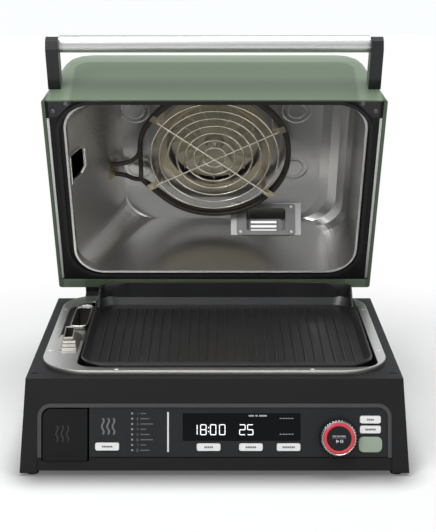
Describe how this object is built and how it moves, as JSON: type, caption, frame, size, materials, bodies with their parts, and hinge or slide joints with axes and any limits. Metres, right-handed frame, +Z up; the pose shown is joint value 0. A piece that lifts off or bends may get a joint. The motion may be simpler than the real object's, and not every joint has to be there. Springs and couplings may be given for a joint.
{
  "type": "electric indoor grill with hinged lid",
  "caption": "Countertop electric grill with a hinged convection lid, a lift-out ridged pan, a smoke drawer with its chimney, and a dial and push-button panel.",
  "frame": {"origin": "middle of the box of the part as it stands with its lid open, at the bottom of the feet", "axes": "+Z up, +Y towards the back where the hinges are, +X to the right seen from the front panel"},
  "size_m": [0.4536, 0.5079, 0.4855],
  "materials": {
    "housing": "satin",
    "rubber": "matte",
    "panel": "matte",
    "trim": "satin",
    "window": "gloss",
    "lamp": "gloss",
    "board": "matte",
    "deck": "brushed",
    "rivet": "satin",
    "burner": "satin",
    "tub": "satin",
    "element": "matte",
    "hinge": "satin",
    "drawer": "matte",
    "dial": "satin",
    "dial_chrome": "polished",
    "dial_red": "gloss",
    "key": "satin",
    "key_green": "satin",
    "pan": "non-stick satin",
    "lid_paint": "satin",
    "frame": "matte",
    "seal": "matte",
    "liner": "satin",
    "strip": "satin",
    "bracket": "satin",
    "fan_steel": "satin",
    "wire": "polished",
    "bar": "brushed",
    "post": "satin",
    "motor": "satin"
  },
  "bodies": {
    "base": {"base_housing": "housing", "bottom_plate": "housing", "feet": "rubber", "rear_cover": "housing", "panel_trim": "trim", "control_panel": "panel", "display_window": "window", "indicator_leds": "lamp", "panel_divider": "lamp", "control_board": "board", "deck_plate": "deck", "deck_rivets": "rivet", "side_well": "deck", "smoke_chimney": "burner", "smoke_box": "burner", "igniter": "element", "heating_tub": "tub", "lower_element": "element", "hinge_brackets": "hinge", "hinge_pins": "rivet", "top_screws": "rivet", "cord_gland": "rubber"},
    "lid": {"lid_shell": "lid_paint", "lid_frame": "frame", "lid_gasket": "seal", "lid_liner": "liner", "side_strips": "strip", "corner_brackets": "bracket", "bracket_screws": "rivet", "upper_element": "element", "terminal_plate": "fan_steel", "fan_plate": "liner", "shroud_ring": "fan_steel", "fan_guard": "wire", "guard_clips": "fan_steel", "vent_box": "liner", "vent_grille": "frame", "vent_screws": "rivet", "port_lip": "rivet", "handle_bar": "bar", "handle_posts": "post", "fan_motor": "motor", "hinge_arms": "hinge"},
    "pan": {"grill_pan": "pan"},
    "drawer": {"drawer_front": "drawer", "drawer_tray": "burner"},
    "fan": {"fan_wheel": "fan_steel", "fan_nut": "rivet"},
    "dial": {"dial_body": "dial", "dial_trim_ring": "dial_chrome", "dial_light_ring": "dial_red"},
    "start": {"start_button": "dial"},
    "smoke": {"smoke_button": "key"},
    "time": {"time_button": "key"},
    "temp": {"temp_button": "key"},
    "probe": {"probe_button": "key"},
    "skip": {"skip_button": "key"},
    "cancel": {"cancel_button": "key"},
    "light": {"light_button": "key_green"}
  },
  "joints": [
    {"name": "lid_hinge", "type": "hinge", "parent": "base", "child": "lid", "pos_m": [0, 0.12591, 0.0962], "axis": [1, 0, 0], "range_deg": [0, 64.1]},
    {"name": "pan_lift", "type": "slide", "parent": "base", "child": "pan", "axis": [0, 0, 1], "range_m": [0, 0.03]},
    {"name": "drawer_slide", "type": "slide", "parent": "base", "child": "drawer", "axis": [0, -1, 0], "range_m": [0, 0.09]},
    {"name": "fan_spin", "type": "hinge", "parent": "lid", "child": "fan", "pos_m": [0, 0.17071, 0.32605], "axis": [0, 0.8996, 0.4368], "continuous": true},
    {"name": "dial_spin", "type": "hinge", "parent": "base", "child": "dial", "pos_m": [0.144, -0.23679, 0.04413], "axis": [0, -0.9659, 0.2588], "continuous": true},
    {"name": "start_press", "type": "slide", "parent": "base", "child": "start", "axis": [0, 0.9659, -0.2588], "range_m": [0, 0.0012], "stiffness_N_per_m": 600, "springref_m": -0.002},
    {"name": "smoke_press", "type": "slide", "parent": "base", "child": "smoke", "axis": [0, 0.9659, -0.2588], "range_m": [0, 0.0008], "stiffness_N_per_m": 600, "springref_m": -0.002},
    {"name": "time_press", "type": "slide", "parent": "base", "child": "time", "axis": [0, 0.9659, -0.2588], "range_m": [0, 0.0008], "stiffness_N_per_m": 600, "springref_m": -0.002},
    {"name": "temp_press", "type": "slide", "parent": "base", "child": "temp", "axis": [0, 0.9659, -0.2588], "range_m": [0, 0.0008], "stiffness_N_per_m": 600, "springref_m": -0.002},
    {"name": "probe_press", "type": "slide", "parent": "base", "child": "probe", "axis": [0, 0.9659, -0.2588], "range_m": [0, 0.0008], "stiffness_N_per_m": 600, "springref_m": -0.002},
    {"name": "skip_press", "type": "slide", "parent": "base", "child": "skip", "axis": [0, 0.9659, -0.2588], "range_m": [0, 0.0008], "stiffness_N_per_m": 600, "springref_m": -0.002},
    {"name": "cancel_press", "type": "slide", "parent": "base", "child": "cancel", "axis": [0, 0.9659, -0.2588], "range_m": [0, 0.0008], "stiffness_N_per_m": 600, "springref_m": -0.002},
    {"name": "light_press", "type": "slide", "parent": "base", "child": "light", "axis": [0, 0.9659, -0.2588], "range_m": [0, 0.0008], "stiffness_N_per_m": 600, "springref_m": -0.002}
  ]
}
